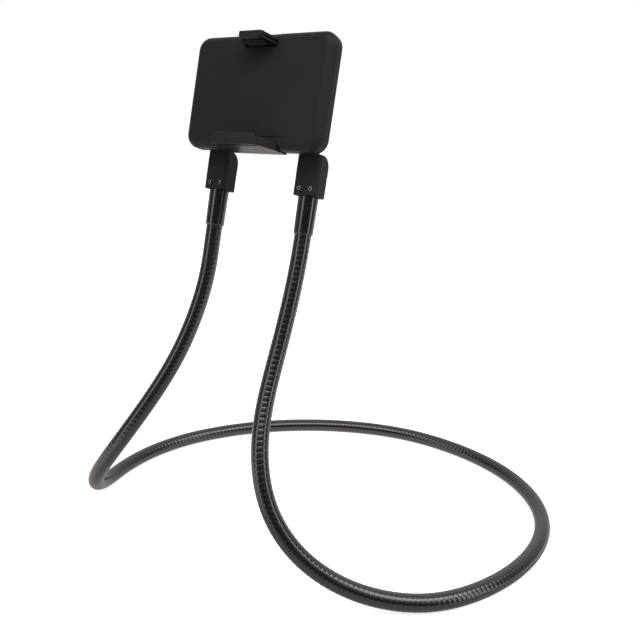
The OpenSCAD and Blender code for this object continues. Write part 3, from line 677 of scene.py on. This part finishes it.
BOTTOM_ARM_LOW = BOTTOM_Z - BOTTOM_PROUD
BOTTOM_ARM_TOP = BOTTOM_ARM_LOW + BOTTOM_ARM_T
BOTTOM_WINDOW_X = BOTTOM_ROOT_W / 2 + SLIDE_GAP + 1.8
BOTTOM_WINDOW_TOP = BOTTOM_Z + 6.7
TOP_ARM_TOP = TOP_Z - TOP_ARM_DROP
TOP_ARM_LOW = TOP_ARM_TOP - TOP_ARM_T
TOP_WINDOW_X = TOP_ROOT_W / 2 + 2 * SLIDE_GAP
TOP_WINDOW_LOW = TOP_ARM_LOW - 2 * SLIDE_GAP
LINING_T = 1.5
SCREW_INSET = 6.2
BOSS_D = SCREW_D + 3.4
HEAD_D = 1.8 * SCREW_D
HEAD_L = 0.6 * SCREW_D
SCREW_PLACES = [(x * (HOLDER_W / 2 - SCREW_INSET), z) for x in (-1, 1)
                for z in (BOTTOM_Z + SCREW_INSET, TOP_Z - SCREW_INSET)]
BRACKET_LOW = BOTTOM_Z + 2.3
BRACKET_H = 12
BRACKET_T = 2.4
BRACKET_X = (ARM_SPACING + LUG_W) / 2 + 1.8
BRACKET_BACK = BACK_Y + FIT + BRACKET_T
BRACKET_PLACES = [(x * ((ARM_SPACING - LUG_W) / 2 - 4), BRACKET_LOW + share * BRACKET_H)
                  for x in (-1, 1) for share in (0.24, 0.76)]


def bars(places, radius, y0, y1, sides=36):
    """Round bars along Y at the given places, as one object."""
    return join([lathe([(y0, radius), (y1, radius)], 1, (x, 0, z), sides) for x, z in places])


def make_front_cover():
    obj = holder_form(FRONT_Y, PART_Y, FRONT_EDGE_R, PART_GAP)
    inner = loft("inner", [slab_ring(y, WALL) for y in (INSIDE_FRONT, PART_Y + 1)])
    cut(obj, inner)
    guide_front = INSIDE_MID - GUIDE_T / 2 - PART_GAP
    lining = box((-BOTTOM_WINDOW_X - LINING_T, INSIDE_FRONT - WALL / 2, BOTTOM_Z + WALL / 2),
                 (BOTTOM_WINDOW_X + LINING_T, guide_front, BOTTOM_WINDOW_TOP + LINING_T))
    add(obj, lining, bars(SCREW_PLACES, BOSS_D / 2, INSIDE_FRONT - WALL / 2, guide_front))
    cut(obj,
        box((-BOTTOM_WINDOW_X, FRONT_Y - 1, BOTTOM_Z - 1),
            (BOTTOM_WINDOW_X, PART_Y + 1, BOTTOM_WINDOW_TOP)),
        box((-TOP_WINDOW_X, FRONT_Y - 1, TOP_WINDOW_LOW), (TOP_WINDOW_X, PART_Y + 1, TOP_Z + 1)),
        bars(SCREW_PLACES, SCREW_D / 2 + FIT, INSIDE_FRONT, PART_Y, 24))
    soften(obj, 0.3, lambda p: p.y < FRONT_Y + 0.01)
    return dress(obj, "front_cover_shell", "holder", COVER_PLASTIC, ("front_cover",))


def make_rear_cover():
    obj = holder_form(PART_Y + PART_GAP, BACK_Y, PART_GAP, BACK_EDGE_R)
    inner = loft("inner", [slab_ring(y, WALL) for y in (PART_Y - 1, INSIDE_BACK)])
    cut(obj, inner)
    guide_back = INSIDE_MID + GUIDE_T / 2 + PART_GAP
    add(obj, bars(SCREW_PLACES, BOSS_D / 2, guide_back, INSIDE_BACK + WALL / 2),
        bars(BRACKET_PLACES, SCREW_D / 2 + 0.8, guide_back, INSIDE_BACK + WALL / 2))
    cut(obj, box((-BOTTOM_ROOT_W / 2 - SLIDE_GAP, PART_Y - 1, BOTTOM_Z - 1),
                 (BOTTOM_ROOT_W / 2 + SLIDE_GAP, BACK_Y + 1, BOTTOM_ARM_TOP + SLIDE_GAP)),
        box((-TOP_ROOT_W / 2 - SLIDE_GAP, PART_Y - 1, TOP_ARM_LOW - SLIDE_GAP),
            (TOP_ROOT_W / 2 + SLIDE_GAP, BACK_Y + 1, TOP_Z + 1)),
        bars(SCREW_PLACES, SCREW_D / 2 + FIT, PART_Y - 5, BACK_Y + 1, 24),
        bars(SCREW_PLACES, HEAD_D / 2 + FIT, BACK_Y - HEAD_L, BACK_Y + 1, 48),
        bars(BRACKET_PLACES, SCREW_D / 2 + FIT, PART_Y - 5, BACK_Y + 1, 24))
    soften(obj, 0.3, lambda p: p.y > BACK_Y - 0.01)
    return dress(obj, "rear_cover_shell", "holder", COVER_PLASTIC, ("rear_cover",))


def make_cover_screws():
    screws = [socket_screw(x, z, BACK_Y, SCREW_D / 2, HOLDER_D - WALL - 1, -1, HEAD_D / 2, HEAD_L, 0.5)
              for x, z in SCREW_PLACES]
    return dress(join(screws), "socket_cover_screws", "holder", DARK_STEEL, ("cover_screws",),
                 sharp=40)


def make_bracket_screws():
    face = BRACKET_BACK + FIT + HEAD_L
    length = face - INSIDE_MID - GUIDE_T / 2 - 2 * PART_GAP
    screws = [socket_screw(x, z, face, SCREW_D / 2, length, -1, HEAD_D / 2, HEAD_L, 0.5)
              for x, z in BRACKET_PLACES]
    return dress(join(screws), "socket_bracket_screws", "holder", DARK_STEEL, ("bracket_screws",),
                 sharp=40)


# ---- Hinge bracket ----

def make_bracket():
    plate = prism([(x, z + BRACKET_LOW + BRACKET_H / 2) for x, z in rounded(2 * BRACKET_X, BRACKET_H, 2, 6)],
                  BACK_Y + FIT, BRACKET_BACK, 1)
    for side in (-1, 1):
        x = side * ARM_SPACING / 2
        web = prism([(BACK_Y + 2 * FIT, BRACKET_LOW + BRACKET_H - 1), (BACK_Y + 2 * FIT, BRACKET_LOW + 0.5),
                     (BRACKET_BACK, BRACKET_LOW + 0.5), (-0.7 * LUG_R, BRACKET_LOW + 2),
                     (-0.7 * LUG_R, 0.7 * LUG_R), (0, 0), (0.5 * LUG_R, 0.866 * LUG_R),
                     (BRACKET_BACK + BRACKET_T, BRACKET_LOW + BRACKET_H - 1)],
                    x - LUG_W / 2 + 0.02, x + LUG_W / 2 - 0.02, 0)
        lug = lathe([(-LUG_W / 2, LUG_R - 0.3), (-LUG_W / 2 + 0.3, LUG_R), (LUG_W / 2 - 0.3, LUG_R),
                     (LUG_W / 2, LUG_R - 0.3)], 0, (x, 0, 0), 72)
        add(plate, web, lug)
    pins = join([lathe([(-LUG_W, PIN_D / 2 + FIT), (LUG_W, PIN_D / 2 + FIT)], 0,
                       (side * ARM_SPACING / 2, 0, 0), 40) for side in (-1, 1)])
    cut(plate, pins, bars(BRACKET_PLACES, SCREW_D / 2 + FIT, BACK_Y - 1, BRACKET_BACK + 1, 24))
    soften(plate, 0.3, lambda p: BRACKET_BACK - 0.01 < p.y < BRACKET_BACK + 0.01 and abs(p.x) < BRACKET_X + 1)
    return dress(plate, "hinge_bracket_body", "holder", BLOCK_PLASTIC, ("hinge_bracket",))


# ---- Jaws ----

def arm_outline(root_w, lip_w, reach):
    """A jaw's arm seen from above: it narrows from the holder's front to the lip."""
    lip_y = FRONT_Y - reach + LIP_T / 2
    return [(-root_w / 2, FRONT_Y + FRONT_EDGE_R), (-root_w / 2, FRONT_Y), (-lip_w / 2, lip_y),
            (lip_w / 2, lip_y), (root_w / 2, FRONT_Y), (root_w / 2, FRONT_Y + FRONT_EDGE_R)]


def lip(w, low, high, reach, free_up):
    """A jaw's lip, with its two free corners cut off."""
    h = high - low
    cut_x = 0.1 * w
    cut_z = 0.45 * h
    way = 1 if free_up else -1
    middle = (low + high) / 2
    points = [(-w / 2, -h / 2), (w / 2, -h / 2), (w / 2, h / 2 - cut_z), (w / 2 - cut_x, h / 2),
              (cut_x - w / 2, h / 2), (-w / 2, h / 2 - cut_z)]
    return prism([(x, middle + way * z) for x, z in points], FRONT_Y - reach, FRONT_Y - reach + LIP_T, 1)


def side_slot(side):
    """A shallow slot with a round end along a slanting side of the top arm."""
    lip_y = FRONT_Y - TOP_REACH + LIP_T / 2
    near = Vector((side * TOP_LIP_W / 2, lip_y))
    far = Vector((side * TOP_ROOT_W / 2, FRONT_Y))
    way = (far - near).normalized()
    inward = Vector((-side * way.y, abs(way.x)))
    r = 0.65
    rings = []
    for depth in (-1, 1.1):
        ring = []
        for end, start in ((near + way * 1.6, 90), (far + way * 1.5, -90)):
            for k in range(9):
                a = math.radians(start + 180 * k / 8)
                at = end + way * r * math.cos(a) + inward * depth
                ring.append((at.x, at.y, TOP_ARM_LOW + 0.42 * TOP_ARM_T + r * math.sin(a)))
        rings.append(ring)
    return loft("slot", rings)


def make_top_jaw():
    head = holder_form(FRONT_Y + PART_GAP, BACK_Y - PART_GAP, FRONT_EDGE_R, BACK_EDGE_R)
    meet(head, box((-TOP_ROOT_W / 2, FRONT_Y, TOP_ARM_LOW), (TOP_ROOT_W / 2, BACK_Y, TOP_Z - 0.8)))
    arm = prism(arm_outline(TOP_ROOT_W - 2 * HAIR, TOP_LIP_W - 2 * HAIR, TOP_REACH),
                TOP_ARM_LOW + HAIR, TOP_ARM_TOP - HAIR, 2)
    stem_y = INSIDE_MID - GUIDE_T / 2 - SLIDE_GAP - SLIDE_T
    stem_x = TOP_ROOT_W / 2 - STEM_INSET
    foot_z = BOTTOM_Z + 0.4 * HOLDER_H
    stem = box((-stem_x, stem_y, foot_z + 4), (stem_x, stem_y + SLIDE_T, TOP_ARM_LOW + 1))
    foot = box((-stem_x - FOOT_OUT, stem_y + HAIR, foot_z),
               (stem_x + FOOT_OUT, stem_y + SLIDE_T - HAIR, foot_z + FOOT_H))
    add(head, arm, lip(TOP_LIP_W, TOP_ARM_LOW - TOP_HOOK, TOP_ARM_TOP, TOP_REACH, False), stem, foot)
    cut(head, side_slot(-1), side_slot(1))
    soften(head, 0.4, lambda p: p.y < FRONT_Y + 0.02)
    return dress(head, "top_jaw_body", "top_jaw", JAW_PLASTIC, ("top_jaw",))


def make_bottom_jaw():
    root = box((-BOTTOM_ROOT_W / 2, FRONT_Y + 1, BOTTOM_Z - 0.35),
               (BOTTOM_ROOT_W / 2, BACK_Y - PART_GAP, BOTTOM_ARM_TOP))
    arm = prism(arm_outline(BOTTOM_ROOT_W - 2 * HAIR, BOTTOM_LIP_W - 2 * HAIR, BOTTOM_REACH),
                BOTTOM_ARM_LOW + HAIR, BOTTOM_ARM_TOP - HAIR, 2)
    stem_y = INSIDE_MID + GUIDE_T / 2 + SLIDE_GAP
    stem_x = BOTTOM_ROOT_W / 2 - STEM_INSET
    foot_z = BOTTOM_Z + 0.52 * HOLDER_H
    stem = box((-stem_x, stem_y, BOTTOM_ARM_TOP - 1), (stem_x, stem_y + SLIDE_T, foot_z + 1))
    foot = box((-stem_x - FOOT_OUT, stem_y + HAIR, foot_z),
               (stem_x + FOOT_OUT, stem_y + SLIDE_T - HAIR, foot_z + FOOT_H))
    riser = holder_form(FRONT_Y + 0.3, BACK_Y - PART_GAP, FRONT_EDGE_R, BACK_EDGE_R)
    meet(riser, box((PART_GAP - BOTTOM_WINDOW_X, FRONT_Y, BOTTOM_Z),
                    (BOTTOM_WINDOW_X - PART_GAP, INSIDE_FRONT + 2.6, BOTTOM_WINDOW_TOP - PART_GAP)))
    add(root, arm, riser,
        lip(BOTTOM_LIP_W, BOTTOM_ARM_LOW - PART_GAP, BOTTOM_ARM_TOP + BOTTOM_HOOK, BOTTOM_REACH, True),
        stem, foot)
    soften(root, 0.45, lambda p: p.y < FRONT_Y + 0.02)
    return dress(root, "bottom_jaw_body", "bottom_jaw", JAW_PLASTIC, ("bottom_jaw",))


def make_pad(name, body, lip_w, z, reach, way):
    """A rubber pad with round ends and three shallow grip grooves."""
    margin = 1.2
    length = reach - LIP_T - 2 * margin
    y1 = FRONT_Y - margin - 1
    w = lip_w - 2 * margin
    points = [(x, y1 - length / 2 + y) for x, y in rounded(w, length, 1.6, 8)]
    outer = z - way * (FIT + PAD_T)
    obj = prism(points, *sorted((z - way * FIT, outer)), 2)
    half = GROOVE_W / 2
    grooves = [box((-w, y1 - length * share - half, outer - half),
                   (w, y1 - length * share + half, outer + half)) for share in (0.25, 0.5, 0.75)]
    cut(obj, join(grooves))
    soften(obj, 0.15, segments=2, angle=60)
    return dress(obj, name + "_rubber", body, PAD_RUBBER, (name,))


# ---- Light and floor ----

BACKDROP_WAY = Vector((-CAMERA_YAW_SIN, CAMERA_YAW_COS, 0))
ACROSS_WAY = Vector((CAMERA_YAW_COS, CAMERA_YAW_SIN, 0))
FLOOR_GLOW_NEAR, FLOOR_GLOW_FAR = 0.75, 1
# The floor's brightness in reflections, at distances in metres from the middle along each way
FLOOR_SEEN_AHEAD = [(-0.5, 0.1), (-0.34, 0.2), (-0.22, 0.5), (-0.1, 0.5), (0.15, 1), (0.5, 1)]
FLOOR_SEEN_ACROSS = [(-0.5, 1), (-0.3, 1), (-0.2, 0.9), (-0.1, 0.1), (0.08, 0.08), (0.17, 1), (0.3, 1),
                     (0.45, 0.6)]


def make_world():
    world = bpy.data.worlds.new("studio")
    bpy.context.scene.world = world
    world.use_nodes = True
    tree = world.node_tree
    place = tree.nodes.new("ShaderNodeTexCoord").outputs["Generated"]

    def level_towards(way, start, stop, low, high):
        """Brightness from low to high as the direction turns towards a way."""
        facing = tree.nodes.new("ShaderNodeVectorMath")
        facing.operation = "DOT_PRODUCT"
        facing.inputs[1].default_value = way
        tree.links.new(place, facing.inputs[0])
        level = tree.nodes.new("ShaderNodeMapRange")
        for name, number in (("From Min", start), ("From Max", stop), ("To Min", low), ("To Max", high)):
            level.inputs[name].default_value = number
        tree.links.new(facing.outputs["Value"], level.inputs["Value"])
        return level.outputs["Result"]

    brightest = tree.nodes.new("ShaderNodeMath")
    brightest.operation = "MAXIMUM"
    tree.links.new(level_towards(BACKDROP_WAY, -0.2, 0.8, 0.06, 0.7), brightest.inputs[0])
    tree.links.new(level_towards((0, 0, 1), 0.45, 0.85, 0.06, 0.5), brightest.inputs[1])
    ray = tree.nodes.new("ShaderNodeLightPath").outputs["Is Camera Ray"]
    mix = tree.nodes.new("ShaderNodeMix")
    mix.inputs["B"].default_value = 1
    background = tree.nodes["Background"]
    background.inputs["Color"].default_value = (1, 1, 1, 1)
    tree.links.new(brightest.outputs["Value"], mix.inputs["A"])
    tree.links.new(ray, mix.inputs["Factor"])
    tree.links.new(mix.outputs["Result"], background.inputs["Strength"])


def make_light(name, at, target, width, height, radiance):
    data = bpy.data.lights.new(name, "AREA")
    data.shape = "RECTANGLE"
    data.size = width
    data.size_y = height
    data.energy = radiance * width * height * math.pi
    obj = bpy.data.objects.new(name, data)
    bpy.context.scene.collection.objects.link(obj)
    way = Vector(target) - Vector(at)
    obj.matrix_world = Matrix.Translation(at) @ way.to_track_quat("-Z", "Y").to_matrix().to_4x4()
    obj.visible_camera = False


def make_floor():
    """A white floor that stays white to the camera far off, with its own levels in reflections."""
    points = [(-1.5, -1.2, 0), (1.5, -1.2, 0), (1.5, 2.2, 0), (-1.5, 2.2, 0)]
    mesh = bpy.data.meshes.new("floor")
    mesh.from_pydata(points, [], [(0, 1, 2, 3)])
    floor = bpy.data.objects.new("floor", mesh)
    bpy.context.scene.collection.objects.link(floor)
    material = bpy.data.materials.new("floor_white")
    material.use_nodes = True
    tree = material.node_tree
    tree.nodes.clear()
    link = tree.links.new
    place = tree.nodes.new("ShaderNodeTexCoord").outputs["Object"]
    path = tree.nodes.new("ShaderNodeLightPath")

    def ramp(value, from_min, from_max, to_min, to_max, kind="SMOOTHSTEP"):
        node = tree.nodes.new("ShaderNodeMapRange")
        node.interpolation_type = kind
        for name, number in (("From Min", from_min), ("From Max", from_max),
                             ("To Min", to_min), ("To Max", to_max)):
            node.inputs[name].default_value = number
        link(value, node.inputs["Value"])
        return node.outputs["Result"]

    def vector_math(operation, other=None):
        node = tree.nodes.new("ShaderNodeVectorMath")
        node.operation = operation
        link(place, node.inputs[0])
        if other is not None:
            node.inputs[1].default_value = other
        return node.outputs["Value"]

    diffuse = tree.nodes.new("ShaderNodeBsdfDiffuse")
    diffuse.inputs["Color"].default_value = (0.86, 0.85, 0.84, 1)
    glow = tree.nodes.new("ShaderNodeEmission")
    scale = tree.nodes.new("ShaderNodeMath")
    scale.operation = "MULTIPLY"
    link(path.outputs["Is Camera Ray"], scale.inputs[0])
    link(ramp(vector_math("LENGTH"), 0.2, 0.6, FLOOR_GLOW_NEAR, FLOOR_GLOW_FAR), scale.inputs[1])
    link(scale.outputs["Value"], glow.inputs["Strength"])
    lit = tree.nodes.new("ShaderNodeAddShader")
    link(diffuse.outputs["BSDF"], lit.inputs[0])
    link(glow.outputs["Emission"], lit.inputs[1])
    mirrored = tree.nodes.new("ShaderNodeEmission")
    mirrored.inputs["Color"].default_value = (1, 0.94, 0.9, 1)

    def levels_along(way, levels):
        """Brightness along a direction, from its value at some distances in metres."""
        node = tree.nodes.new("ShaderNodeValToRGB")
        stops = node.color_ramp.elements
        stops[0].position, stops[1].position = 0, 1
        for _ in levels[2:]:
            stops.new(0.5)
        for stop, (at, level) in zip(stops, levels):
            stop.position = at + 0.5
            stop.color = (level, level, level, 1)
        link(ramp(vector_math("DOT_PRODUCT", way), -0.5, 0.5, 0, 1, "LINEAR"), node.inputs["Fac"])
        return node.outputs["Color"]

    brightest = tree.nodes.new("ShaderNodeMath")
    brightest.operation = "MAXIMUM"
    link(levels_along(BACKDROP_WAY, FLOOR_SEEN_AHEAD), brightest.inputs[0])
    link(levels_along(ACROSS_WAY, FLOOR_SEEN_ACROSS), brightest.inputs[1])
    link(brightest.outputs["Value"], mirrored.inputs["Strength"])
    mix = tree.nodes.new("ShaderNodeMixShader")
    link(path.outputs["Is Glossy Ray"], mix.inputs["Fac"])
    link(lit.outputs["Shader"], mix.inputs[1])
    link(mirrored.outputs["Emission"], mix.inputs[2])
    output = tree.nodes.new("ShaderNodeOutputMaterial")
    link(mix.outputs["Shader"], output.inputs["Surface"])
    mesh.materials.append(material)


make_camera()
make_gooseneck()
for side in (-1, 1):
    make_ferrule(side)
    make_block(side)
make_set_screws()
make_front_cover()
make_rear_cover()
make_cover_screws()
make_bracket()
make_bracket_screws()
make_top_jaw()
make_bottom_jaw()
make_pad("top_jaw_pad", "top_jaw", TOP_LIP_W, TOP_ARM_LOW, TOP_REACH, 1)
make_pad("bottom_jaw_pad", "bottom_jaw", BOTTOM_LIP_W, BOTTOM_ARM_TOP, BOTTOM_REACH, -1)

for node, material in (("gooseneck_core", STEEL), ("left_end_stud", STEEL), ("right_end_stud", STEEL),
                       ("left_hinge_pin", STEEL), ("right_hinge_pin", STEEL), ("friction_washers", STEEL),
                       ("slide_guide", BLOCK_PLASTIC),
                       ("top_left_spring", STEEL), ("top_right_spring", STEEL),
                       ("bottom_left_spring", STEEL), ("bottom_right_spring", STEEL)):
    for material_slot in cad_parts[node].material_slots:
        material_slot.material = material

make_world()
make_light("left_panel", (-0.32, -0.74, 0.42), (-0.02, -0.06, 0.15), 0.3, 0.8, 1.3)
make_light("right_strip", (0.79, -0.03, 0.3), (0.0, -0.03, 0.15), 0.17, 0.56, 2.4)
make_light("overhead", (0.17, -0.38, 0.82), (0.02, -0.04, 0.02), 0.72, 0.44, 2.7)
make_light("right_top", (0.52, 0.05, 0.78), (0.08, -0.06, 0.02), 0.38, 0.38, 3)
make_floor()

bpy.context.scene.view_settings.view_transform = "Standard"
